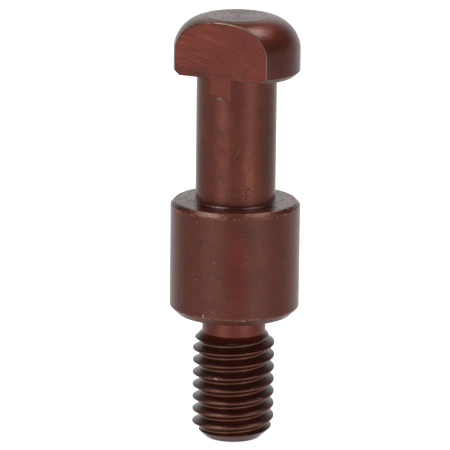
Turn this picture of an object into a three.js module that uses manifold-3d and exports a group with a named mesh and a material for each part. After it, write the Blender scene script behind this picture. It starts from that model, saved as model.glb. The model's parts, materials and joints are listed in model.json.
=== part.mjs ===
// Locking stud of a quick-change tool post: one turned steel piece with a domed T-head, a plain
// neck, a locating collar, a relief groove and a coarse right-hand screw thread.
// Millimetres. +Z runs along the axis from the threaded end to the head, and the origin is the
// centre of the end face. The two flats milled on the head face +Y and -Y.
import * as THREE from "three";
import { mergeVertices } from "three/addons/utils/BufferGeometryUtils.js";
import Module from "manifold-3d";

const wasm = await Module();
wasm.setup();

const SEGMENTS = 60; // around the axis, for the turned body and for each turn of the thread
const SHOULDER_STEPS = 7;
const FILLET_STEPS = 3;

// Screw thread: half-inch coarse, 13 turns to the inch, with its crests at mid tolerance.
const THREAD_RADIUS = 6.3;
const PITCH = 25.4 / 13;
const THREAD_DEPTH = 0.6134 * PITCH;
const HALF_FLANK_ANGLE = Math.PI / 6;
const CREST_WIDTH = PITCH / 8;
const CREST_ANGLE = THREE.MathUtils.degToRad(205.4); // a crest passes this side of the axis ...
const CREST_HEIGHT = 8.11; // ... at this height
const END_RADIUS = 4.27;
const END_CHAMFER_HEIGHT = 1.9;

// Relief groove, and the collar that seats on the machine.
const RELIEF_RADIUS = 4.88;
const RELIEF_BOTTOM = 16.77;
const COLLAR_RADIUS = 9.94;
const COLLAR_BOTTOM = 19.83;
const COLLAR_TOP = 37.46;
const COLLAR_TOP_BEVEL = 0.6;
const COLLAR_BOTTOM_BEVEL = 1.12;

const NECK_RADIUS = 6.13;
const NECK_FILLET = 0.45;

// T-head.
const HEAD_RADIUS = 9.66;
const HEAD_BOTTOM = 57.32;
const HEAD_TOP = 66.2;
const HEAD_BEVEL = 0.66;
const SHOULDER_RADIUS = 5.3;
const ACROSS_FLATS = 11.8;
const FLAT_BOTTOM = 54.1; // the cutter runs past the head and leaves a shallow flat on the neck

// A three.js geometry as a manifold solid, without the slivers that a lathe leaves on its axis.
function solid(geometry) {
  const bare = geometry.clone();
  bare.deleteAttribute("normal");
  bare.deleteAttribute("uv");
  const merged = mergeVertices(bare, 1e-4);
  const corners = merged.index.array;
  const kept = [];
  for (let i = 0; i < corners.length; i += 3) {
    const [a, b, c] = corners.slice(i, i + 3);
    if (a !== b && b !== c && c !== a) kept.push(a, b, c);
  }
  const vertProperties = merged.attributes.position.array;
  const triVerts = new Uint32Array(kept);
  return new wasm.Manifold(new wasm.Mesh({ numProp: 3, vertProperties, triVerts }));
}

function geometryOf(manifold) {
  const { vertProperties, triVerts } = manifold.getMesh();
  const geometry = new THREE.BufferGeometry();
  geometry.setAttribute("position", new THREE.BufferAttribute(vertProperties, 3));
  geometry.setIndex(new THREE.BufferAttribute(triVerts, 1));
  geometry.computeVertexNormals();
  return geometry;
}

// A quarter round as outline points: the arc's centre, its radius and its first angle.
function quarterRound(centreRadius, centreHeight, radius, start, steps) {
  const points = [];
  for (let i = 0; i <= steps; i += 1) {
    const angle = start + ((i / steps) * Math.PI) / 2;
    const across = centreRadius + radius * Math.cos(angle);
    points.push(new THREE.Vector2(across, centreHeight + radius * Math.sin(angle)));
  }
  return points;
}

// The tool-nose radius where the neck meets the collar, from the collar's face up the neck.
function neckFillet() {
  const centreRadius = NECK_RADIUS + NECK_FILLET;
  const centreHeight = COLLAR_TOP + NECK_FILLET;
  return quarterRound(centreRadius, centreHeight, NECK_FILLET, Math.PI, FILLET_STEPS).reverse();
}

// The dome that joins the head's side to its flat top.
function headShoulder() {
  const centreRadius = HEAD_RADIUS - SHOULDER_RADIUS;
  const centreHeight = HEAD_TOP - SHOULDER_RADIUS;
  return quarterRound(centreRadius, centreHeight, SHOULDER_RADIUS, 0, SHOULDER_STEPS);
}

// The outline that the lathe leaves, from the end face up to the top of the head.
function turnedOutline() {
  const corner = (radius, height) => new THREE.Vector2(radius, height);
  return [
    corner(0, 0),
    corner(END_RADIUS, 0),
    corner(THREAD_RADIUS, END_CHAMFER_HEIGHT),
    corner(THREAD_RADIUS, RELIEF_BOTTOM - (THREAD_RADIUS - RELIEF_RADIUS)),
    corner(RELIEF_RADIUS, RELIEF_BOTTOM),
    corner(RELIEF_RADIUS, COLLAR_BOTTOM),
    corner(COLLAR_RADIUS - COLLAR_BOTTOM_BEVEL, COLLAR_BOTTOM),
    corner(COLLAR_RADIUS, COLLAR_BOTTOM + COLLAR_BOTTOM_BEVEL),
    corner(COLLAR_RADIUS, COLLAR_TOP - COLLAR_TOP_BEVEL),
    corner(COLLAR_RADIUS - COLLAR_TOP_BEVEL, COLLAR_TOP),
    ...neckFillet(),
    corner(NECK_RADIUS, HEAD_BOTTOM),
    corner(HEAD_RADIUS - HEAD_BEVEL, HEAD_BOTTOM),
    corner(HEAD_RADIUS, HEAD_BOTTOM + HEAD_BEVEL),
    ...headShoulder(),
    corner(0, HEAD_TOP),
  ];
}

function turnedBody() {
  const geometry = new THREE.LatheGeometry(turnedOutline(), SEGMENTS);
  geometry.rotateX(Math.PI / 2);
  return solid(geometry);
}

// The V of the thread, drawn with its X along the axis and its Y away from it.
function grooveSection() {
  const overcut = 0.1;
  const spread = Math.tan(HALF_FLANK_ANGLE);
  const mouth = (PITCH - CREST_WIDTH) / 2 + overcut * spread;
  const floor = (PITCH - CREST_WIDTH) / 2 - THREAD_DEPTH * spread;
  return new THREE.Shape([
    new THREE.Vector2(-floor, THREAD_RADIUS - THREAD_DEPTH),
    new THREE.Vector2(floor, THREAD_RADIUS - THREAD_DEPTH),
    new THREE.Vector2(mouth, THREAD_RADIUS + overcut),
    new THREE.Vector2(-mouth, THREAD_RADIUS + overcut),
  ]);
}

// The groove that cuts the thread, extruded straight and then wound round the axis. It starts
// below the end face and runs out in the relief groove.
function threadGroove() {
  const height = CREST_HEIGHT + PITCH / 2 - (CREST_ANGLE / (2 * Math.PI)) * PITCH;
  const lowest = height - Math.ceil((height + PITCH) / PITCH) * PITCH;
  const turns = Math.floor((COLLAR_BOTTOM - PITCH / 2 - lowest) / PITCH);
  const geometry = new THREE.ExtrudeGeometry(grooveSection(), {
    depth: turns,
    steps: turns * SEGMENTS,
    bevelEnabled: false,
  });
  const position = geometry.attributes.position;
  for (let i = 0; i < position.count; i += 1) {
    const turn = position.getZ(i);
    const angle = turn * 2 * Math.PI;
    const radius = position.getY(i);
    const along = lowest + turn * PITCH + position.getX(i);
    position.setXYZ(i, radius * Math.cos(angle), radius * Math.sin(angle), along);
  }
  return solid(geometry);
}

// What the mill takes off one side of the head, and the shallow flat it leaves on the neck.
function flatCut(side) {
  const overcut = 1;
  const reach = HEAD_RADIUS + overcut;
  const height = HEAD_TOP + overcut - FLAT_BOTTOM;
  const depth = reach - ACROSS_FLATS / 2;
  const geometry = new THREE.BoxGeometry(2 * reach, depth, height);
  geometry.translate(0, side * (reach - depth / 2), FLAT_BOTTOM + height / 2);
  return solid(geometry);
}

const steel = new THREE.MeshStandardMaterial({ color: 0x5f342b, roughness: 0.35, metalness: 0.8 });

function toolPostStud() {
  const threaded = turnedBody().subtract(threadGroove());
  const milled = threaded.subtract(flatCut(-1)).subtract(flatCut(1));
  const mesh = new THREE.Mesh(geometryOf(milled), steel);
  mesh.name = "tool_post_stud";
  return mesh;
}

const toolPost = new THREE.Group();
toolPost.add(toolPostStud());

export default toolPost;
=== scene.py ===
"""The locking stud of a quick-change tool post, in oxide-browned steel, on a pale studio floor.

The stud is one turned piece, made here as one closed mesh: rings round the axis for what the
lathe leaves, rows that climb with the helix for the thread, and two milled flats with rounded
edges. Sizes are in millimetres until the mesh is made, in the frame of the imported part.
"""

import json
import math

import bpy
import numpy as np
from mathutils import Matrix, Vector


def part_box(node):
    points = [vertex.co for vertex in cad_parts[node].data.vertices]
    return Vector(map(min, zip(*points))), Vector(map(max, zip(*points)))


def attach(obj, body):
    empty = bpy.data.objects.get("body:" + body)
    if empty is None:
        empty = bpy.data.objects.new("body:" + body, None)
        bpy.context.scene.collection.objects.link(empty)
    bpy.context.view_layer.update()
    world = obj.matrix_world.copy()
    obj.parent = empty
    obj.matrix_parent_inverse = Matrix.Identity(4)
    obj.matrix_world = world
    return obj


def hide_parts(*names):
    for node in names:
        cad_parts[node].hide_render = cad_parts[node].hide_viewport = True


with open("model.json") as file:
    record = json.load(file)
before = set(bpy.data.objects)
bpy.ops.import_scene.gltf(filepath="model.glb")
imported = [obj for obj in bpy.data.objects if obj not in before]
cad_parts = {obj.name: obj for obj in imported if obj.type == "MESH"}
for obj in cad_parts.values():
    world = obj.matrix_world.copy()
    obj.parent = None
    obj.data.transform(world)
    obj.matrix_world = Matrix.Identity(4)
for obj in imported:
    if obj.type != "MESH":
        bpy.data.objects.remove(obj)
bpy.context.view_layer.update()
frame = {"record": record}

NODE = "tool_post_stud"
MM = 0.001


# ---------------------------------------------------------------- sizes, in mm

def mount_point(name):
    """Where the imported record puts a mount, in mm."""
    found = next(m for m in frame["record"]["mounts"] if m["name"] == name)
    return [c / MM for c in found["pos_m"]]


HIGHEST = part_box(NODE)[1] / MM

HEAD_TOP = HIGHEST.z
HEAD_BOTTOM = mount_point("head_underside")[2]
HALF_FLATS = mount_point("head_flat_back")[1]
COLLAR_TOP = mount_point("collar_top")[2]
COLLAR_BOTTOM = mount_point("collar_seat")[2]
COLLAR_RADIUS = HIGHEST.x

HEAD_RADIUS = 9.66
HEAD_BEVEL = 0.66
SHOULDER_RADIUS = 5.3
SHOULDER_START = math.radians(6.5)  # the dome meets the head's side at this slight corner
FACE_RADIUS = HEAD_RADIUS - SHOULDER_RADIUS * math.cos(SHOULDER_START)
APEX_SLOPE = math.asin((HALF_FLATS - FACE_RADIUS) / SHOULDER_RADIUS)  # where the flats die out
NUB = ((0.32, 0.005), (0.24, 0.03), (0.12, 0.045), (0.0, 0.05))  # (radius, height) on the top
FLAT_BOTTOM = 54.1
CUTTER_ACROSS, CUTTER_HEIGHT = -11, 12  # the milled arcs' centre, looking at the flat
CUTTER_RADIUS = 43.88                   # to the flat's lower end on the neck
CUTTER_PASS = 47.0                      # to where the cutter's next pass begins
NECK_RADIUS = 6.13
NECK_FILLET = 0.45
COLLAR_TOP_BEVEL = 0.6
COLLAR_BOTTOM_BEVEL = 1.12
RELIEF_RADIUS = 4.88
RELIEF_BOTTOM = 16.77

THREAD_RADIUS = 6.3
PITCH = 25.4 / 13
ROOT_RADIUS = THREAD_RADIUS - 0.6134 * PITCH
FLANK_SLOPE = 1 / math.tan(math.radians(30))
CREST_HALF = PITCH / 16
CREST_ANGLE = math.radians(205.4)
CREST_HEIGHT = 8.11
END_RADIUS = 4.27
END_CHAMFER_HEIGHT = 1.9
THREAD_LOW = 0.5                    # between these heights the rows climb with the helix
THREAD_HIGH = RELIEF_BOTTOM - 0.12
CREST_ROUNDING, ROOT_ROUNDING = 0.1, 0.14
WEAR_ABOVE, WEAR_BELOW = 0.1, 0.9   # how deep wear reaches from the crest, on its two sides
ROOT_SHEEN = 0.12                    # and about how high the painted highlight reaches from the root

EDGE = 0.19           # rounding of the edges of the flats
STRIP = 4             # quads across a flat's rounded edge
HALF_COLUMNS = 72     # quads round each half of the head, between the flats
LEDGE_COLUMNS = 8     # quads along the flat's lower end
LONGEST_ROW = 1.5     # between rings on a plain cylinder
DOME_ROWS = 30        # up the dome, as far as the tops of the flats
APEX_ROWS = 7         # from there to the flat face on top
FACE_ROWS = 24        # across that face to the nub, with the row it starts from


# ------------------------------------------------- outlines for the turned parts

def outline(corners, steps=4):
    """Rows (radius, height, normal's radius, normal's height, wear) along straight lines.

    A corner is (radius, height, rounding), and steps is how many rows a 45 degree turn has.
    The outline runs upwards with the metal on its left."""
    points, wear_and_sheen = [np.array(corners[0][:2])], [0.0]
    for before, here, after in zip(corners, corners[1:], corners[2:]):
        arc, convex = rounded_corner(before[:2], here, after[:2], steps)
        points += arc
        wear_and_sheen += [0.0, *[float(convex)] * (len(arc) - 2), 0.0]
    points.append(np.array(corners[-1][:2]))
    points, wear_and_sheen = filled(points, wear_and_sheen + [0.0])
    rows = []
    for i, (r, z) in enumerate(points):
        along = points[min(i + 1, len(points) - 1)] - points[max(i - 1, 0)]
        along /= np.linalg.norm(along)
        rows.append((r, z, along[1], -along[0], wear_and_sheen[i]))
    return rows


def rounded_corner(before, corner, after, steps):
    """A corner's arc, and whether the metal is on its inside."""
    here = np.array(corner[:2])
    back, on = np.array(before) - here, np.array(after) - here
    back /= np.linalg.norm(back)
    on /= np.linalg.norm(on)
    half = math.acos(np.clip(back @ on, -1, 1)) / 2
    middle = (back + on) / np.linalg.norm(back + on)
    centre = here + middle * corner[2] / math.sin(half)
    first = here + back * corner[2] / math.tan(half) - centre
    last = here + on * corner[2] / math.tan(half) - centre
    sweep = math.pi - 2 * half
    count = max(2, round(steps * sweep / (math.pi / 4)))
    arc = [centre + between(first, last, sweep, k / count) for k in range(count + 1)]
    return arc, on[0] * back[1] - on[1] * back[0] > 0


def between(first, last, angle, t):
    """The direction a share t of the way from first to last, which are this angle apart."""
    return (math.sin((1 - t) * angle) * first + math.sin(t * angle) * last) / math.sin(angle)


def filled(points, wear_and_sheen):
    """Adds points to the long straight stretches."""
    out, worn_and_sheen = [points[0]], [wear_and_sheen[0]]
    for i, (a, b) in enumerate(zip(points, points[1:])):
        count = max(1, math.ceil(np.linalg.norm(b - a) / LONGEST_ROW))
        out += [a + (b - a) * k / count for k in range(1, count + 1)]
        worn_and_sheen += [0.0] * (count - 1) + [wear_and_sheen[i + 1]]
    return out, worn_and_sheen


def foot_outline():
    chamfer = chamfer_radius(THREAD_LOW)
    return outline([(0.5, 0.0, 0), (END_RADIUS, 0.0, 0.08), (chamfer, THREAD_LOW, 0)])


def middle_outline():
    """From where the thread runs out to the lower end of the flats."""
    return outline([
        (RELIEF_RADIUS + RELIEF_BOTTOM - THREAD_HIGH, THREAD_HIGH, 0),
        (RELIEF_RADIUS, RELIEF_BOTTOM, 0.25),
        (RELIEF_RADIUS, COLLAR_BOTTOM, 0.15),
        (COLLAR_RADIUS - COLLAR_BOTTOM_BEVEL, COLLAR_BOTTOM, 0.08),
        (COLLAR_RADIUS, COLLAR_BOTTOM + COLLAR_BOTTOM_BEVEL, 0.12),
        (COLLAR_RADIUS, COLLAR_TOP - COLLAR_TOP_BEVEL, 0.2),
        (COLLAR_RADIUS - COLLAR_TOP_BEVEL, COLLAR_TOP, 0.2),
        (NECK_RADIUS, COLLAR_TOP, NECK_FILLET),
        (NECK_RADIUS, FLAT_BOTTOM, 0),
    ])


def flatted_outline():
    """The rows that the flats cut, from their lower end up to where they die out on the dome."""
    rows = outline([
        (NECK_RADIUS, FLAT_BOTTOM, 0),
        (NECK_RADIUS, HEAD_BOTTOM, 0.15),
        (HEAD_RADIUS - HEAD_BEVEL, HEAD_BOTTOM, 0.08),
        (HEAD_RADIUS, HEAD_BOTTOM + HEAD_BEVEL, 0.1),
        (HEAD_RADIUS, HEAD_TOP - SHOULDER_RADIUS * (1 - math.sin(SHOULDER_START)), 0),
    ])
    steepest = math.pi / 2 - SHOULDER_START
    for k in range(1, DOME_ROWS + 1):
        left = 1 - k / DOME_ROWS  # rows close up where the dome runs nearly along the flat
        rows.append(dome_row(APEX_SLOPE + (steepest - APEX_SLOPE) * left ** 2))
    return rows


def dome_row(slope):
    """The row of the dome where its normal leans this far from the axis."""
    across, up = math.sin(slope), math.cos(slope)
    height = HEAD_TOP - SHOULDER_RADIUS + SHOULDER_RADIUS * up
    return FACE_RADIUS + SHOULDER_RADIUS * across, height, across, up, 0.0


def top_outline():
    """Rings from just inside the flats to the nub at the centre of the top."""
    dome = [dome_row(APEX_SLOPE * (1 - t)) for t in np.linspace(0.15, 1, APEX_ROWS)]
    face = [(radius, HEAD_TOP) for radius in np.linspace(FACE_RADIUS, 0.4, FACE_ROWS)[1:]]
    nub = [(radius, HEAD_TOP + height) for radius, height in NUB[:-1]]
    return dome + [(radius, height, 0.0, 1.0, 0.0) for radius, height in face + nub]


# ------------------------------------------------------------------ mesh tools

class Body:
    """The stud's mesh as it grows: points in mm, marks on them from 0 to 1, and faces."""

    def __init__(self):
        self.points, self.faces = [], []
        self.marks = {"wear_and_sheen": [], "milled": []}

    def add(self, points, wear_and_sheen=0.0, milled=0.0):
        first = len(self.points)
        self.points += [tuple(p) for p in points]
        for name, value in (("wear_and_sheen", wear_and_sheen), ("milled", milled)):
            self.marks[name] += [value] * len(points) if np.isscalar(value) else list(value)
        return list(range(first, len(self.points)))

    def face(self, corners):
        """Adds a face. Repeated corners are merged, and one with fewer than three is left out."""
        ring = [c for i, c in enumerate(corners) if c != corners[i - 1]]
        if len(set(ring)) == len(ring) > 2:
            self.faces.append(ring)

    def band(self, low, high, closed=False):
        """Quads between two rows of the same length."""
        if closed:
            low, high = low + low[:1], high + high[:1]
        for i in range(len(low) - 1):
            self.face([low[i], low[i + 1], high[i + 1], high[i]])

    def sweep(self, ring, rows, angles):
        """Rings stacked on one another. Returns the last one."""
        for radius, height, _, _, wear_and_sheen in rows:
            upper = self.add(ring_points(radius, height, angles), wear_and_sheen)
            self.band(ring, upper, closed=True)
            ring = upper
        return ring

    def close(self, ring, height):
        """A fan from a ring to a point on the axis."""
        centre = self.add([(0.0, 0.0, height)])[0]
        for a, b in zip(ring, ring[1:] + ring[:1]):
            self.face([a, b, centre])


def ring_points(radius, height, angles):
    return [(radius * math.cos(a), radius * math.sin(a), height) for a in angles]


def angles_of(body, ring):
    return [math.atan2(body.points[i][1], body.points[i][0]) for i in ring]


# ------------------------------------------------------- the head and its flats

EDGE_WEAR = [0.0] + [1.0] * (STRIP - 1) + [0.3]
EDGE_MILLED = [1.0] + [0.0] * STRIP
LOW_EDGE_WEAR = 0.75  # as a share of the wear higher up
LEDGE_WEAR = 0.85
WING_HEIGHT = 0.3     # the head's rows up to here above its underside end in a flat's lower edge


def flat_edge(row):
    """The rounded edge where a row meets the flat facing -Y, on the +X side: its points run
    from the flat to the row's own surface."""
    radius, height, across, up, _ = row
    x = math.sqrt(max(radius ** 2 - HALF_FLATS ** 2, 0.0))
    flat = np.array((0.0, -1.0, 0.0))
    own = np.array((across * x / radius, -across * HALF_FLATS / radius, up))
    own /= np.linalg.norm(own)
    turn = math.acos(flat @ own)
    centre = np.array((x, -HALF_FLATS, height)) - EDGE * (flat + own) / (1 + flat @ own)
    return [centre + EDGE * between(flat, own, turn, k / STRIP) for k in range(STRIP + 1)]


def half_row(row):
    """One row round the +X half of the head, from the front flat to the back one."""
    edge = flat_edge(row)
    x, y, height = edge[-1]
    start = math.atan2(y, x)
    angles = np.linspace(start, -start, HALF_COLUMNS + 1)[1:-1]
    far = [(x, -y, z) for x, y, z in reversed(edge)]
    return [*edge, *ring_points(math.hypot(x, y), height, angles), *far]


def turned_half(points):
    """The points half a turn further round the axis."""
    return [(-x, -y, z) for x, y, z in points]


def half_wear(row):
    """The wear along a row from half_row."""
    _, height, _, _, turned_wear = row
    share = 1.0 if height > HEAD_BOTTOM + HEAD_BEVEL else LOW_EDGE_WEAR
    edge = [share * wear_and_sheen for wear_and_sheen in EDGE_WEAR]
    return [*edge, *[turned_wear] * (HALF_COLUMNS - 1), *reversed(edge)]


def head_rows(body):
    """The rows of both halves of the head, as (right, left) lists of point numbers."""
    milled = [*EDGE_MILLED, *[0.0] * (HALF_COLUMNS - 1), *reversed(EDGE_MILLED)]
    made = []
    for row in flatted_outline()[:-1]:
        points = half_row(row)
        halves = points, turned_half(points)
        made.append([body.add(half, half_wear(row), milled) for half in halves])
    apex = dome_row(APEX_SLOPE)
    points, wear_and_sheen = half_row(apex), half_wear(apex)
    right = body.add(points, wear_and_sheen, milled)  # the halves share the edges at the flats' tops
    inner = slice(STRIP + 1, -STRIP - 1)
    left = body.add(turned_half(points)[inner], wear_and_sheen[inner])
    made.append((right, [*reversed(right[-STRIP - 1:]), *left, *reversed(right[:STRIP + 1])]))
    for (right0, left0), (right1, left1) in zip(made, made[1:]):
        body.band(right0, right1)
        body.band(left0, left1)
    return made


def between_edges(half):
    """A half row's points on the turned surface itself."""
    return half[STRIP:-STRIP]


def line(body, start, end, shares):
    """Points between two others, with their ends."""
    a, b = np.array(body.points[start]), np.array(body.points[end])
    return [start, *body.add([a + (b - a) * t for t in shares[1:-1]], milled=1.0), end]


def flat(body, ends):
    """One flat, in rows between its two edges. ends holds each row's (start, end) points."""
    outline_rows = flatted_outline()
    wing_top = HEAD_BOTTOM + WING_HEIGHT
    neck = sum(1 for row in outline_rows if row[0] <= NECK_RADIUS + 1e-6)
    under = next(i for i, row in enumerate(outline_rows) if row[1] > wing_top)
    across = np.linspace(0, 1, LEDGE_COLUMNS + 1)
    rows = [line(body, *ends[i], across) for i in range(neck)]
    for low, high in zip(rows, rows[1:]):
        body.band(low, high)
    wings = ends[neck:under]
    bottom = [start for start, _ in reversed(wings)] + rows[-1] + [end for _, end in wings]
    start, end = (np.array(body.points[bottom[i]]) for i in (0, -1))
    shares = [(np.array(body.points[i]) - start) @ (end - start) for i in bottom]
    shares = [s / shares[-1] for s in shares]
    low = bottom
    for row_ends in ends[under:-1]:
        high = line(body, *row_ends, shares)
        body.band(low, high)
        low = high
    body.band(low, [ends[-1][0]] * len(low))
    return rows[0]


def build_head(body):
    """Everything above the flats' lower end. Returns the ring there."""
    made = head_rows(body)
    front = flat(body, [(left[-1], right[0]) for right, left in made])
    back = flat(body, [(right[-1], left[0]) for right, left in made])
    right, left = made[0]
    arc_angles = np.linspace(angles_of(body, [left[-STRIP - 1]])[0],
                             angles_of(body, [right[STRIP]])[0], LEDGE_COLUMNS + 1)[1:-1]
    arc = ring_points(NECK_RADIUS, FLAT_BOTTOM, arc_angles)
    front_arc = body.add(arc, LEDGE_WEAR)
    back_arc = body.add(turned_half(arc), LEDGE_WEAR)
    body.band([left[-STRIP - 1], *front_arc, right[STRIP]], front)
    body.band([right[-STRIP - 1], *back_arc, left[STRIP]], back)
    for half in (right, left):
        body.face(list(reversed(half[:STRIP + 1])))
        body.face(list(reversed(half[-STRIP - 1:])))
    apex_right, apex_left = made[-1]
    top = between_edges(apex_right) + between_edges(apex_left)[1:-1]
    ring = body.sweep(top, top_outline(), angles_of(body, top))
    body.close(ring, HEAD_TOP + NUB[-1][1])
    return between_edges(right) + back_arc + between_edges(left) + front_arc


# ----------------------------------------------------------------- the thread

def smooth_min(a, b, spread):
    """The lesser of two numbers, blended where they differ by less than the spread."""
    share = max(spread - abs(a - b), 0.0) / spread
    return min(a, b) - share * share * spread / 4


def chamfer_radius(height):
    return END_RADIUS + (THREAD_RADIUS - END_RADIUS) * height / END_CHAMFER_HEIGHT


def crest_height(angle):
    """The height at which one crest passes an angle."""
    return CREST_HEIGHT + (angle - CREST_ANGLE) / (2 * math.pi) * PITCH


def above_crest(angle, height):
    """How far a point is above the nearest crest, or below it when negative."""
    return (height - crest_height(angle) + PITCH / 2) % PITCH - PITCH / 2


def thread_surface(angle, height):
    """The radius of the threaded shank: its groove, and its chamfers at both ends."""
    away = abs(above_crest(angle, height))
    flank = THREAD_RADIUS - (away - CREST_HALF) * FLANK_SLOPE
    crest = smooth_min(flank, THREAD_RADIUS, CREST_ROUNDING)
    groove = -smooth_min(-crest, -ROOT_RADIUS, ROOT_ROUNDING)
    run_out = RELIEF_RADIUS + RELIEF_BOTTOM - height
    chamfered = smooth_min(groove, chamfer_radius(height), CREST_ROUNDING)
    return smooth_min(chamfered, run_out, CREST_ROUNDING)


def thread_wear_and_sheen(angle, height, radius):
    """The crests and the sides below them are worn. The roots get the same mark as a painted
    highlight.
    """
    reach = WEAR_ABOVE if above_crest(angle, height) > 0 else WEAR_BELOW
    at_crest = 1 - (THREAD_RADIUS - radius) / reach
    # Painted highlight along the roots, strongest at the bottom of the groove.
    root_sheen = 0.9 - (radius - ROOT_RADIUS) / ROOT_SHEEN
    return max(0.0, at_crest, root_sheen)


# Where the rows lie across half a pitch, from a crest to the root beside it. They are closest
# at the crest's corner and where the flank meets the root.
HALF_PHASES = (0.045, 0.0625, 0.085, 0.14, 0.2, 0.26, 0.32, 0.375, 0.4166, 0.455)
PHASES = (0.0, *HALF_PHASES, 0.5, *(1 - p for p in reversed(HALF_PHASES)))


def thread(body, low_ring, high_ring, angles):
    """Rows that climb with the helix, held between a ring at each end."""
    first = crest_height(angles[0])
    first -= math.ceil((first - THREAD_LOW) / PITCH + 1) * PITCH
    turns = math.ceil((THREAD_HIGH - first) / PITCH)
    heights = [first + (turn + phase) * PITCH for turn in range(turns) for phase in PHASES]
    columns = []
    for j, angle in enumerate(angles):
        column = []
        for rest in heights:
            z = rest + (angle - angles[0]) / (2 * math.pi) * PITCH
            if z <= THREAD_LOW:
                column.append(low_ring[j])
            elif z >= THREAD_HIGH:
                column.append(high_ring[j])
            else:
                radius = thread_surface(angle, z)
                column += body.add(ring_points(radius, z, [angle]), thread_wear_and_sheen(angle, z, radius))
        columns.append(column)
    a_turn_on = columns[0][len(PHASES):] + [high_ring[0]] * len(PHASES)
    for left, right in zip(columns, columns[1:] + [a_turn_on]):
        for k in range(len(heights) - 1):
            body.face([left[k], right[k], right[k + 1], left[k + 1]])


# ------------------------------------------------------------------- the stud

def build_body():
    body = Body()
    neck_ring = build_head(body)
    angles = np.unwrap(angles_of(body, neck_ring))
    foot = foot_outline()
    ring = body.add(ring_points(foot[0][0], foot[0][1], angles))
    body.close(list(reversed(ring)), 0.0)
    low_ring = body.sweep(ring, foot[1:], angles)
    rows = middle_outline()
    high_ring = body.add(ring_points(rows[0][0], rows[0][1], angles))
    thread(body, low_ring, high_ring, angles)
    ring = body.sweep(high_ring, rows[1:-1], angles)
    body.band(ring, neck_ring, closed=True)
    return body


SLIDE_HEIGHT = 2.4    # how far above and below a flat's lower end the points slide
SLIDE_HALF_WIDTH = 2  # they slide fully this far to each side of the flat's middle
SLIDE_FADE = 3        # and not at all this much further out
SHARP = math.radians(55)  # edges that turn by more than this stay crisp


def slid(point):
    """Points near the flats' lower ends slide along the neck, so that each end lies on the
    cutter's arc."""
    x, y, z = point
    across = -x if y > 0 else x
    arc = CUTTER_HEIGHT + math.sqrt(CUTTER_RADIUS ** 2 - (across - CUTTER_ACROSS) ** 2)
    near = smooth(1 - abs(z - FLAT_BOTTOM) / SLIDE_HEIGHT)
    near *= smooth(1 - (abs(x) - SLIDE_HALF_WIDTH) / SLIDE_FADE)
    return x, y, z + (arc - FLAT_BOTTOM) * near


def smooth(t):
    """Runs smoothly from 0 to 1 while t does."""
    t = min(max(t, 0.0), 1.0)
    return t * t * (3 - 2 * t)


def stud():
    body = build_body()
    mesh = bpy.data.meshes.new("stud")
    mesh.from_pydata([[c * MM for c in slid(p)] for p in body.points], [], body.faces)
    for name, values in body.marks.items():
        mesh.attributes.new(name, "FLOAT", "POINT").data.foreach_set("value", values)
    mesh.validate()
    for polygon in mesh.polygons:
        polygon.use_smooth = True
    mesh.set_sharp_from_angle(angle=SHARP)
    piece = bpy.data.objects.new("stud_visual", mesh)
    bpy.context.scene.collection.objects.link(piece)
    weighted = piece.modifiers.new("weighted_normals", "WEIGHTED_NORMAL")
    weighted.mode = "FACE_AREA"
    weighted.weight = 60
    weighted.keep_sharp = True
    return piece


# ---------------------------------------------------------------- shader tools

class Graph:
    """A node tree with short ways to add maths to it."""

    def __init__(self, tree):
        self.tree = tree

    def node(self, kind, inputs=(), **settings):
        made = self.tree.nodes.new("ShaderNode" + kind)
        for name, value in settings.items():
            setattr(made, name, value)
        for key, value in dict(inputs).items():
            self.feed(made.inputs[key], value)
        return made

    def feed(self, socket, value):
        if isinstance(value, bpy.types.NodeSocket):
            self.tree.links.new(value, socket)
        else:
            socket.default_value = value

    def math(self, operation, *values):
        return self.node("Math", dict(enumerate(values)), operation=operation).outputs[0]

    def plus(self, a, b):
        return self.math("ADD", a, b)

    def minus(self, a, b):
        return self.math("SUBTRACT", a, b)

    def times(self, first, *others):
        for other in others:
            first = self.math("MULTIPLY", first, other)
        return first

    def most(self, a, b):
        return self.math("MAXIMUM", a, b)

    def step(self, value, low, high, start=0.0, end=1.0):
        """Runs smoothly from start to end while value goes from low to high."""
        inputs = {0: value, 1: low, 2: high, 3: start, 4: end}
        return self.node("MapRange", inputs, interpolation_type="SMOOTHSTEP").outputs[0]

    def vector(self, x, y, z):
        return self.node("CombineXYZ", {0: x, 1: y, 2: z}).outputs[0]

    def parts(self, vector):
        return self.node("SeparateXYZ", {0: vector}).outputs

    def vector_math(self, operation, *values):
        return self.node("VectorMath", dict(enumerate(values)), operation=operation).outputs[0]

    def dot(self, a, b):
        made = self.node("VectorMath", {0: a, 1: b}, operation="DOT_PRODUCT")
        return made.outputs["Value"]

    def length(self, vector):
        made = self.node("VectorMath", {0: vector}, operation="LENGTH")
        return made.outputs["Value"]

    def mix(self, share, a, b):
        made = self.node("Mix", {0: share, 6: a, 7: b}, data_type="RGBA")
        return made.outputs[2]

    def shade(self, colour, factor):
        return self.node("VectorMath", {0: colour, 3: factor}, operation="SCALE").outputs[0]

    def noise(self, place, scale, detail=2.0, rough=0.5):
        """Noise from 0 to 1, centred on a half."""
        inputs = {"Vector": place, "Scale": scale, "Detail": detail, "Roughness": rough}
        return self.node("TexNoise", inputs).outputs[0]

    def attribute(self, name):
        return self.node("Attribute", attribute_name=name).outputs["Fac"]

    def ramp(self, value, stops):
        """Grey levels at each (place, level) stop, joined by smooth steps."""
        made = self.node("ValToRGB", {0: value})
        ramp = made.color_ramp
        ramp.interpolation = "EASE"
        while len(ramp.elements) < len(stops):
            ramp.elements.new(0.5)
        for element, (place, level) in zip(ramp.elements, stops):
            element.position = place
            element.color = (level, level, level, 1)
        return made.outputs[0]


# ------------------------------------------------------------ colours and marks

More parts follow.
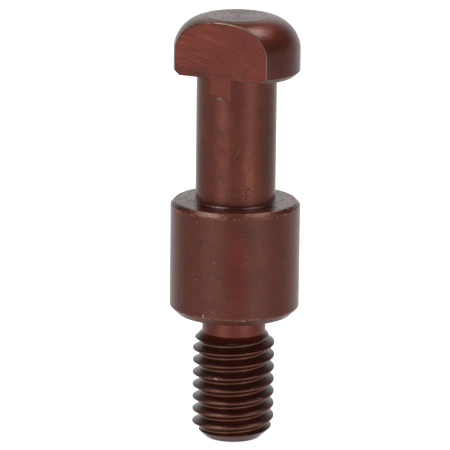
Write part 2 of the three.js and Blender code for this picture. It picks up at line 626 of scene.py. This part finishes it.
THREAD_BROWN = (0.165, 0.066, 0.052, 1)
RELIEF_RED = (0.31, 0.064, 0.036, 1)
COLLAR_BROWN = (0.28, 0.071, 0.043, 1)
NECK_BROWN = (0.28, 0.063, 0.035, 1)
REDDER = (0.36, 0.055, 0.027, 1)
HEAD_BROWN = (0.2, 0.043, 0.027, 1)
TOP_MAUVE = (0.3, 0.07, 0.055, 1)
FLAT_RED = (0.425, 0.07, 0.034, 1)
FLAT_MAROON = (0.31, 0.056, 0.035, 1)
ORANGE = (0.36, 0.09, 0.03, 1)
STREAK = (0.54, 0.125, 0.06, 1)
COPPER_WEAR_AND_SHEEN = (0.36, 0.115, 0.062, 1)
GOLD_WEAR_AND_GLINT = (0.55, 0.22, 0.07, 1)
SHADE_BROWN = (0.15, 0.05, 0.033, 1)
SHADE_BLACK = (0.03, 0.014, 0.011, 1)
GOLD_WEAR_AND_SHEEN = (0.62, 0.42, 0.27, 1)
BARE_STEEL = (0.85, 0.76, 0.64, 1)

# Marks on the sides. Every list holds (angle round the axis in degrees, height, half the length,
# half the width, tilt in degrees, strength), with the sizes in mm. Chips show bare steel, and
# tints are orange patches. Reddened are broad upright stripes, and the shade stripes are painted
# shade: broad darker upright stripes. Hatches are patches of tool marks, specks are dark dots,
# and pittings are speckled patches.
CHIPS = [
    (-83.3, 29.9, 0.3, 0.1, 0, 0.28), (-92.9, 21.3, 0.33, 0.13, 75, 0.9),
    (-83.8, 22.1, 0.2, 0.08, 60, 0.4), (-56.2, 20.85, 0.5, 0.1, 0, 1.0),
    (-61.5, 20.8, 0.25, 0.06, 0, 0.7), (-89.4, 10.48, 0.28, 0.13, 0, 1.0),
    (-90.0, 54.49, 0.72, 0.08, -14, 0.85), (-74.2, 44.8, 0.15, 0.08, 0, 0.2),
    (-100.7, 26.8, 0.25, 0.05, 10, 0.4), (37.0, 36.9, 0.4, 0.12, 0, 0.9),
    (128.0, 20.9, 0.35, 0.12, 0, 0.9), (160.0, 8.9, 0.3, 0.1, 0, 0.9),
    (20.0, 62.0, 0.3, 0.08, 20, 0.5),
]
SCRATCHES = [
    (-55.5, 31.1, 0.4, 0.06, -50, 0.5), (-53.3, 30.9, 0.32, 0.06, -50, 0.4),
    (-57.9, 33.7, 0.4, 0.06, -45, 0.4), (-98.8, 33.6, 0.35, 0.06, 80, 0.4),
    (-90.7, 32.1, 0.3, 0.06, -50, 0.45), (-102.2, 22.4, 0.6, 0.05, 85, 0.35),
    (-63.7, 22.5, 0.55, 0.05, 80, 0.4), (-46.7, 23.1, 0.3, 0.06, -40, 0.3),
    (-62.0, 46.2, 1.6, 0.05, 52, 0.42), (-84.0, 41.6, 0.95, 0.05, -14, 0.35),
    (-85.0, 41.25, 0.9, 0.05, -11, 0.25), (75.0, 29.0, 0.5, 0.06, 35, 0.45),
    (100.0, 45.0, 0.7, 0.05, -50, 0.4), (10.0, 25.0, 0.5, 0.05, -60, 0.4),
    (150.0, 33.0, 0.4, 0.06, 20, 0.4), (-150.0, 48.0, 0.6, 0.05, 70, 0.3),
]
TINTS = [
    (-51.0, 44.6, 2.2, 0.9, 80, 0.85), (-44.0, 42.2, 1.7, 0.8, 85, 0.8),
    (-84.0, 52.6, 1.9, 0.5, 90, 0.5), (-60.0, 49.0, 2.6, 0.9, 82, 0.5),
    (-76.0, 46.5, 2.5, 0.6, 90, 0.3), (-42.0, 62.2, 1.7, 0.7, 10, 0.7),
    (70.0, 50.0, 2.2, 1.0, 85, 0.5), (130.0, 43.0, 2.5, 0.9, 95, 0.5),
    (-170.0, 47.0, 2.2, 1.1, 80, 0.4),
]
REDDENED = [(-63.0, 28.6, 11.0, 2.3, 90, 0.75), (118.0, 28.6, 11.0, 2.0, 90, 0.5)]
SHADE_STRIPES = [
    (-10.0, 47.5, 13.0, 2.1, 90, 0.8), (-126.0, 47.5, 13.0, 1.5, 90, 0.5),
    (-118.0, 28.6, 11.0, 2.2, 90, 0.25), (90.0, 47.5, 12.0, 1.8, 90, 0.5),
]
HATCHES = [
    (-87.0, 46.2, 1.7, 1.05, -58, 1.0), (-89.0, 49.4, 1.7, 0.9, -50, 0.8),
    (-85.0, 41.8, 1.3, 0.8, -14, 0.8), (60.0, 47.0, 1.6, 1.0, -55, 0.8),
    (140.0, 50.0, 1.4, 0.9, 50, 0.7),
]
SPECKS = [
    (-56.5, 34.6, 0.14, 0.12, 0, 0.7), (-45.7, 40.5, 0.13, 0.12, 0, 0.9),
    (-68.8, 40.5, 0.12, 0.1, 0, 0.8), (-50.0, 38.9, 0.1, 0.1, 0, 0.7),
    (-95.0, 33.0, 0.1, 0.1, 0, 0.5), (-114.0, 12.0, 0.3, 0.2, 0, 0.9),
    (-117.0, 3.6, 0.3, 0.2, 0, 0.8), (50.0, 31.0, 0.14, 0.12, 0, 0.8),
    (110.0, 26.0, 0.12, 0.12, 0, 0.7), (170.0, 52.0, 0.13, 0.12, 0, 0.8),
]
PITTINGS = [
    (-48.0, 40.8, 2.6, 1.5, 80, 1.0), (-60.0, 39.2, 2.6, 1.0, 0, 0.9),
    (85.0, 41.0, 2.2, 1.5, 80, 0.8),
]
HATCH_SPACING = 0.36


# ---------------------------------------------------------------- the material

class Place:
    """Where a point of the surface is, in mm and radians, and how much of it, from 0 to 1, is in
    each zone of the stud."""

    def __init__(self, g):
        self.point = g.shade(g.node("TexCoord").outputs["Object"], 1 / MM)
        self.x, self.y, self.z = g.parts(self.point)
        self.radius = g.math("SQRT", g.plus(g.times(self.x, self.x), g.times(self.y, self.y)))
        self.angle = g.math("ARCTAN2", self.y, self.x)
        self.milled = g.attribute("milled")
        self.neck = between_heights(g, self.z, COLLAR_TOP + 0.2, HEAD_BOTTOM)
        self.head = g.step(self.z, HEAD_BOTTOM - 0.1, HEAD_BOTTOM + 0.1)
        self.top = g.step(self.z, HEAD_TOP - 0.06, HEAD_TOP - 0.01)
        self.collar = between_heights(g, self.z, COLLAR_BOTTOM - 0.1, COLLAR_TOP + 0.1)
        self.shank = g.step(self.z, COLLAR_BOTTOM - 0.2, COLLAR_BOTTOM, 1.0, 0.0)


class Grain:
    """The noises that the colour and the relief share."""

    def __init__(self, g, at):
        self.blotches = g.noise(at.point, 0.7, 3.0, 0.6)
        self.fine = g.noise(at.point, 3.6, 3.0, 0.65)
        self.ragged = g.times(g.minus(self.fine, 0.5), 1.6)
        long_way_round = g.vector(g.times(at.x, 0.25), g.times(at.y, 0.25), g.times(at.z, 5.0))
        self.turning = g.noise(long_way_round, 1.0, 3.0, 0.6)
        twice = g.times(at.radius, 2.0)
        rings = g.vector(g.times(at.radius, 3.6), g.math("DIVIDE", at.x, twice),
                         g.math("DIVIDE", at.y, twice))
        self.facing = g.noise(rings, 1.0, 4.0, 0.6)
        self.patchy = g.noise(at.point, 1.6, 3.0, 0.7)


def between_heights(g, z, low, high, soft=0.1):
    """1 between two heights and 0 beyond them."""
    above = g.step(z, low - soft, low + soft)
    return g.times(above, g.step(z, high - soft, high + soft, 1.0, 0.0))


def side_radius(height):
    """The radius of the turned side that a mark at this height lies on."""
    if height < RELIEF_BOTTOM:
        return THREAD_RADIUS - 0.05  # just inside the crests
    if height < COLLAR_TOP:
        return COLLAR_RADIUS
    return NECK_RADIUS if height < HEAD_BOTTOM else HEAD_RADIUS


def mark_place(g, at, done, angle, height, long, wide, tilt):
    """Places on a mark: its ends are at -1 and 1 along X, and its sides along Y.

    Leaning very slightly on the marks already done makes the renderer work through them one
    after another. All at once they overflow its memory and the stud turns black."""
    a, t = math.radians(angle), math.radians(tilt)
    outward = Vector((math.cos(a), math.sin(a), 0))
    around, up = Vector((-math.sin(a), math.cos(a), 0)), Vector((0, 0, 1))
    along = around * math.cos(t) + up * math.sin(t)
    turn = Matrix((along, outward.cross(along), outward)).transposed().to_euler()
    point = g.vector_math("MULTIPLY_ADD", done, (1e-9,) * 3, at.point)
    inputs = {"Vector": point, "Location": outward * side_radius(height) + up * height,
              "Rotation": turn, "Scale": (long, wide, max(1.0, long))}
    return g.node("Mapping", inputs, vector_type="TEXTURE").outputs[0]


def marked(g, at, marks, inner, outer, ragged=0.0):
    """The marks' strengths, each fading out between two shares of its size."""
    found = g.times(at.z, 0.0)
    for *shape, strength in marks:
        away = g.plus(g.length(mark_place(g, at, found, *shape)), ragged)
        found = g.most(found, g.step(away, inner, outer, strength, 0.0))
    return found


def hatched(g, at):
    """Fine tool lines in a few patches: their depth from -1 to 1."""
    depth = g.times(at.z, 0.0)
    for *shape, strength in HATCHES:
        place = mark_place(g, at, depth, *shape)
        half_width = shape[3]
        lines = g.math("SINE", g.times(g.parts(place)[1], math.tau * half_width / HATCH_SPACING))
        share = g.step(g.length(place), 0.4, 1.1, strength, 0.0)
        depth = g.plus(depth, g.times(lines, share))
    return depth


def scuffed(g, at):
    """1 on short fine scratches lying every way round the turned sides."""
    unrolled = g.vector(g.times(at.angle, at.radius), at.z, 0.0)
    cells = g.node("TexVoronoi", {"Vector": unrolled, "Scale": 0.5}, voronoi_dimensions="2D")
    direction, chance, reach = g.parts(cells.outputs["Color"])
    offset = g.vector_math("SUBTRACT", unrolled, cells.outputs["Position"])
    turn = g.times(direction, math.pi)
    along = g.vector(g.math("COSINE", turn), g.math("SINE", turn), 0.0)
    beside = g.vector_math("CROSS_PRODUCT", along, (0, 0, 1))
    thin = g.step(g.math("ABSOLUTE", g.dot(offset, beside)), 0.02, 0.06, 1.0, 0.0)
    past_end = g.minus(g.math("ABSOLUTE", g.dot(offset, along)), g.times(reach, 0.5))
    short = g.step(past_end, 0.0, 0.3, 1.0, 0.0)
    return g.times(g.step(chance, 0.7, 1.0), thin, short)


def pitted(g, at, grain):
    """1 in small dark pits, which crowd one side of the collar's top face."""
    cells = g.node("TexVoronoi", {"Vector": at.point, "Scale": 1.2})
    face = g.times(at.collar, g.step(at.z, COLLAR_TOP - 0.3, COLLAR_TOP - 0.05))
    rim_side = g.dot(at.point, (-0.9, -0.43, 0.0))
    crowd = g.plus(g.step(rim_side, 4.5, 7.0, 0.0, 0.9), g.step(rim_side, -7.5, -5.0, 0.3, 0.0))
    chosen = g.math("LESS_THAN", g.parts(cells.outputs["Color"])[0], g.times(face, crowd))
    away = g.plus(cells.outputs["Distance"], g.times(grain.fine, 0.25))
    return g.times(chosen, g.step(away, 0.38, 0.52, 1.0, 0.0))


def rubbed(g, at):
    """Bands beside the collar's two outer corners, where handling has polished it."""
    found = 0.0
    for height, spread in ((COLLAR_TOP - 0.7, 0.3), (COLLAR_BOTTOM + 1.2, 0.22)):
        away = g.math("ABSOLUTE", g.minus(at.z, height))
        found = g.most(found, g.step(away, 0.05, spread, 0.75, 0.0))
    return g.times(found, g.step(at.radius, COLLAR_RADIUS - 0.35, COLLAR_RADIUS - 0.05))


def cutter_arcs(g, at):
    """(distance from the arcs' centre, distance across from it) on either flat."""
    side = g.math("SIGN", g.times(at.y, -1.0))
    across = g.minus(g.times(at.x, side), CUTTER_ACROSS)
    up = g.minus(at.z, CUTTER_HEIGHT)
    reach = g.math("SQRT", g.plus(g.times(across, across), g.times(up, up)))
    return reach, across


def flat_colour(g, at, reach, across, blotches):
    """Coppery cutter streaks above one pass of the cutter, and smooth maroon below it. The
    streaks come back too, for the relief."""
    above = g.step(reach, CUTTER_PASS, CUTTER_PASS + 0.25)
    lines = g.noise(g.vector(g.times(reach, 4.2), g.times(across, 0.16), at.y), 1.0, 4.0, 0.6)
    bright = g.times(g.step(lines, 0.5, 0.62), g.step(across, 8.0, 11.5, 1.0, 0.12), above)
    below = g.times(g.minus(1.0, above), g.step(across, 8.5, 11.0, 1.0, 0.0))
    colour = g.mix(below, FLAT_RED, FLAT_MAROON)
    colour = g.mix(g.step(blotches, 0.45, 0.65, 0.0, 0.55), colour, FLAT_MAROON)
    colour = g.shade(colour, g.step(lines, 0.3, 0.7, 0.88, 1.12))
    low_edge = g.times(g.step(at.z, HEAD_BOTTOM, HEAD_BOTTOM + 1.6, 0.35, 0.0),
                       g.step(across, 8.0, 12.0))
    colour = g.mix(low_edge, colour, ORANGE)
    return g.mix(g.times(bright, 0.9), colour, STREAK), lines


def turned_colour(g, at, grain):
    """The oxide on the turned surfaces, zone by zone, with redder and orange patches and stripes,
    painted light on the dome, and painted shade in darker stripes down the sides.
    """
    relief = g.step(at.z, RELIEF_BOTTOM - 0.6, RELIEF_BOTTOM)
    colour = g.mix(at.shank, COLLAR_BROWN, g.mix(relief, THREAD_BROWN, RELIEF_RED))
    colour = g.mix(at.neck, colour, NECK_BROWN)
    colour = g.mix(at.head, colour, HEAD_BROWN)
    # Painted light: the top of the head, with the dome, is painted brighter than the side below.
    colour = g.shade(colour, g.step(at.z, HEAD_TOP - 5.6, HEAD_TOP - 4.0, 1.0, 1.17))
    redness = g.noise(at.point, 0.5, 2.0, 0.5)
    colour = g.mix(g.step(redness, 0.48, 0.72, 0.0, 0.3), colour, REDDER)
    colour = g.mix(g.step(grain.blotches, 0.45, 0.7, 0.0, 0.14), colour, ORANGE)
    colour = g.mix(marked(g, at, REDDENED, 0.2, 1.1), colour, REDDER)
    # Painted shade: darker upright stripes down the neck's and the collar's sides.
    colour = g.mix(marked(g, at, SHADE_STRIPES, 0.2, 1.1), colour, SHADE_BROWN)
    return g.mix(marked(g, at, TINTS, 0.2, 1.2), colour, ORANGE)


def oxide_colour(g, at, grain, flats):
    """The oxide everywhere, still unworn, with the turned sides' painted light and shade, and
    painted shade on the collar's top bevel.
    """
    colour = g.mix(at.milled, turned_colour(g, at, grain), flats)
    cloud = g.noise(at.point, 0.28, 3.0, 0.6)
    colour = g.shade(colour, g.step(cloud, 0.3, 0.7, 0.9, 1.12))
    # Painted shade: the collar's top bevel is painted darker.
    shaded_bevel = between_heights(g, at.z, COLLAR_TOP - COLLAR_TOP_BEVEL, COLLAR_TOP - 0.04, 0.06)
    colour = g.shade(colour, g.step(shaded_bevel, 0.0, 1.0, 1.0, 0.74))
    speckle = g.minus(g.noise(at.point, 4.8, 4.0, 0.75), 0.48)
    mottle = g.times(speckle, g.step(at.milled, 0.0, 1.0, 1.5, 0.7))
    colour = g.shade(colour, g.plus(mottle, 1.0))
    ringed = g.shade(TOP_MAUVE[:3], g.step(grain.facing, 0.4, 0.6, 0.2, 1.2))
    return g.mix(at.top, colour, ringed)


def worn_and_sheen_colour(g, at, patchy, worn_and_sheen, colour):
    """The oxide with its fine scratches and its rubbed and worn edges, and with painted
    highlights along the thread's roots and along the head's flat edges.
    """
    fine = g.times(scuffed(g, at), g.minus(0.22, at.milled), g.minus(1.0, at.shank))
    fine = g.most(fine, marked(g, at, SCRATCHES, 0.4, 1.1))
    colour = g.mix(fine, colour, GOLD_WEAR_AND_SHEEN)
    colour = g.mix(g.times(rubbed(g, at), g.step(patchy, 0.42, 0.6)), colour, GOLD_WEAR_AND_GLINT)
    # On the shank the copper colours both its worn crests and the painted highlight at its roots.
    return g.mix(worn_and_sheen, colour, g.mix(at.shank, GOLD_WEAR_AND_SHEEN, COPPER_WEAR_AND_SHEEN))


def glints_and_shade_colour(g, at, pits, speckled, colour):
    """The colour with painted glints in the speckled patches, and painted shade in the pits and
    round the neck's foot."""
    # Painted glints: gold dots in the speckled patches.
    gleams = g.step(g.noise(at.point, 4.2, 1.0, 0.5), 0.36, 0.45, 1.0, 0.0)
    colour = g.mix(g.times(gleams, speckled, 0.6), colour, GOLD_WEAR_AND_GLINT)
    # Painted shade round the neck's foot, on the fillet and the collar's top face beside it.
    corner = between_heights(g, at.z, COLLAR_TOP - 0.1, COLLAR_TOP + 0.5)
    shade_near_neck = g.step(at.radius, NECK_RADIUS + 0.5, NECK_RADIUS + 2.0, 0.6, 0.0)
    colour = g.mix(g.times(corner, shade_near_neck), colour, SHADE_BLACK)
    # Painted shade in the pits.
    return g.mix(pits, colour, SHADE_BLACK)


def relief_height(g, at, grain, streaks, pits, chips):
    """How far the surface stands out, in mm: its grain and tool marks, less pits and chips."""
    height = g.times(grain.fine, g.step(at.neck, 0.0, 1.0, 0.052, 0.026))
    for bumps, size, zone in ((grain.turning, 0.004, at.neck), (streaks, 0.01, at.milled),
                              (grain.facing, 0.15, at.top)):
        height = g.plus(height, g.times(bumps, size, zone))
    height = g.plus(height, g.times(hatched(g, at), 0.014))
    height = g.minus(height, g.times(pits, 0.3))
    return g.minus(height, g.times(chips, 0.03))


def oxide_steel():
    material = bpy.data.materials.new("oxide_steel")
    material.use_nodes = True
    g = Graph(material.node_tree)
    at = Place(g)
    grain = Grain(g, at)
    reach, across = cutter_arcs(g, at)
    flats, streaks = flat_colour(g, at, reach, across, grain.blotches)

    # Edges are worn in patches, and more on the shank. Towards each flat's right side the head's
    # edges get more of it, as a painted highlight.
    right_edge_sheen = g.times(at.head, g.step(across, 9.0, 14.0, 0.0, 0.26))
    patchy = g.plus(g.plus(grain.patchy, right_edge_sheen), g.times(at.shank, 0.32))
    worn_and_sheen = g.step(g.times(g.attribute("wear_and_sheen"), patchy), 0.4, 0.62)
    chips = marked(g, at, CHIPS, 0.7, 1.1, grain.ragged)
    speckled = marked(g, at, PITTINGS, 0.3, 1.2)
    pocks = g.times(g.step(g.noise(at.point, 4.5, 1.0, 0.5), 0.56, 0.68), speckled, 0.06)
    specks = marked(g, at, SPECKS, 0.7, 1.2, grain.ragged)
    pits = g.most(g.most(pitted(g, at, grain), specks), pocks)

    colour = oxide_colour(g, at, grain, flats)
    colour = worn_and_sheen_colour(g, at, patchy, worn_and_sheen, colour)
    colour = g.mix(chips, colour, BARE_STEEL)
    colour = glints_and_shade_colour(g, at, pits, speckled, colour)
    height = relief_height(g, at, grain, streaks, pits, chips)
    bump = g.node("Bump", {"Strength": 1.0, "Distance": MM, "Height": height}).outputs[0]

    smooth_turned = g.times(g.plus(at.neck, at.shank), g.minus(1.0, at.milled))
    satin = g.step(smooth_turned, 0.0, 1.0, 0.45, 0.33)
    shader = material.node_tree.nodes["Principled BSDF"]
    g.feed(shader.inputs["Base Color"], colour)
    g.feed(shader.inputs["Metallic"], g.step(smooth_turned, 0.0, 1.0, 0.62, 0.85))
    g.feed(shader.inputs["Roughness"], g.step(g.most(worn_and_sheen, chips), 0.0, 1.0, satin, 0.3))
    g.feed(shader.inputs["Normal"], bump)
    g.feed(shader.inputs["Coat Normal"], bump)
    shader.inputs["Specular IOR Level"].default_value = 0.0
    shader.inputs["Specular Tint"].default_value = (0.1, 0.3, 0.3, 1)
    # A thin clear film lies over the oxide.
    shader.inputs["Coat Weight"].default_value = 1.0
    shader.inputs["Coat Roughness"].default_value = 0.16
    shader.inputs["Coat IOR"].default_value = 1.5
    return material


def floor_finish():
    material = bpy.data.materials.new("studio_floor")
    material.use_nodes = True
    shader = material.node_tree.nodes["Principled BSDF"]
    shader.inputs["Base Color"].default_value = (0.9, 0.9, 0.9, 1)
    shader.inputs["Roughness"].default_value = 0.9
    shader.inputs["Emission Color"].default_value = (1, 1, 1, 1)
    shader.inputs["Emission Strength"].default_value = 0.95
    return material


# ------------------------------------------------------------ camera and studio

AZIMUTH = math.radians(25.4)
ELEVATION = math.radians(14.21)
ROLL = math.radians(0.67)
DISTANCE = 0.6894
AIM = Vector((0, 0, 0.0346))
FRONT = Vector((math.sin(AZIMUTH), -math.cos(AZIMUTH), 0))
RIGHT = Vector((math.cos(AZIMUTH), math.sin(AZIMUTH), 0))
BACK = FRONT * math.cos(ELEVATION) + Vector((0, 0, math.sin(ELEVATION)))
OFF_RIGHT, OFF_UP = 0.001547, 0.001146  # how far the aim lies from the frame's centre


def camera():
    data = bpy.data.cameras.new("camera")
    data.lens, data.sensor_width = 360, 36
    data.clip_start, data.clip_end = 0.01, 200
    eye = bpy.data.objects.new("camera", data)
    bpy.context.scene.collection.objects.link(eye)
    up = BACK.cross(RIGHT)
    turn = Matrix((RIGHT, up, BACK)).transposed() @ Matrix.Rotation(ROLL, 3, "Z")
    eye.rotation_mode = "QUATERNION"
    eye.rotation_quaternion = turn.to_quaternion()
    eye.location = AIM + BACK * DISTANCE - RIGHT * OFF_RIGHT - up * OFF_UP
    bpy.context.scene.camera = eye


LAMP_DISTANCE = 0.8


def soft_light(name, side, azimuth, elevation, length, width, radiance):
    """A long overhead light facing the stud. The azimuth is from the front, and side is 1 for
    the right of the picture and -1 for the left."""
    data = bpy.data.lights.new(name, "AREA")
    data.shape = "RECTANGLE"
    data.size, data.size_y = length, width
    data.energy = radiance * length * width * math.pi
    lamp = bpy.data.objects.new(name, data)
    a, e = math.radians(azimuth), math.radians(elevation)
    away = (FRONT * math.cos(a) + RIGHT * side * math.sin(a)) * math.cos(e)
    away += Vector((0, 0, math.sin(e)))
    lamp.location = AIM + away * LAMP_DISTANCE
    lamp.rotation_mode = "QUATERNION"
    lamp.rotation_quaternion = away.to_track_quat("Z", "Y")
    lamp.visible_camera = False
    bpy.context.scene.collection.objects.link(lamp)


# The walls' brightness, as (degrees round from the front, level).
SURROUND = [
    (0, 0.35), (12, 0.35), (40, 0.74), (68, 0.35), (100, 0.33), (120, 0.48), (145, 0.72),
    (180, 0.85),
]
CEILING = 0.055
BELOW_FRONT, BELOW_BACK = 0.34, 0.5


def surround():
    """The white tent round the stud: bright behind it, dark at its open front and beside it,
    with a pale panel on each side of the camera. In front it ends just above the horizon."""
    world = bpy.data.worlds.new("studio")
    bpy.context.scene.world = world
    world.use_nodes = True
    g = Graph(world.node_tree)
    towards = g.node("TexCoord").outputs["Generated"]
    side = g.math("ABSOLUTE", g.dot(towards, tuple(RIGHT)))
    azimuth = g.math("ARCTAN2", side, g.dot(towards, tuple(FRONT)))
    wall = g.ramp(g.math("DIVIDE", azimuth, math.pi), [(a / 180, v) for a, v in SURROUND])
    height = g.dot(towards, (0, 0, 1))
    rim = g.step(azimuth, math.radians(125), math.radians(165), -0.05, 0.35)
    tent = g.mix(g.step(g.minus(height, rim), 0.0, 0.35), wall, (CEILING, CEILING, CEILING, 1))
    below = g.step(azimuth, math.radians(110), math.radians(150), BELOW_FRONT, BELOW_BACK)
    tent = g.mix(g.step(height, -0.3, -0.75), tent, g.vector(below, below, below))
    seen = g.mix(g.node("LightPath").outputs["Is Camera Ray"], tent, (1, 1, 1, 1))
    g.feed(world.node_tree.nodes["Background"].inputs["Color"], seen)


def floor():
    rim, radius = 64, 60
    points = [(radius * math.cos(k * math.tau / rim), radius * math.sin(k * math.tau / rim), 0)
              for k in range(rim)]
    mesh = bpy.data.meshes.new("floor")
    mesh.from_pydata(points, [], [list(range(rim))])
    mesh.materials.append(floor_finish())
    ground = bpy.data.objects.new("floor", mesh)
    bpy.context.scene.collection.objects.link(ground)
    ground.visible_glossy = False  # the tent lights the stud from below too, not the floor
    ground.visible_diffuse = False
    ground.visible_shadow = False


camera()
soft_light("left_softbox", side=-1, azimuth=84, elevation=63, length=0.3, width=0.24,
           radiance=7.0)
soft_light("right_softbox", side=1, azimuth=110, elevation=69, length=0.42, width=0.2,
           radiance=5.8)
surround()
floor()
bpy.context.scene.view_settings.view_transform = "Standard"

piece = stud()
piece.data.materials.append(oxide_steel())
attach(piece, "root")
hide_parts(NODE)
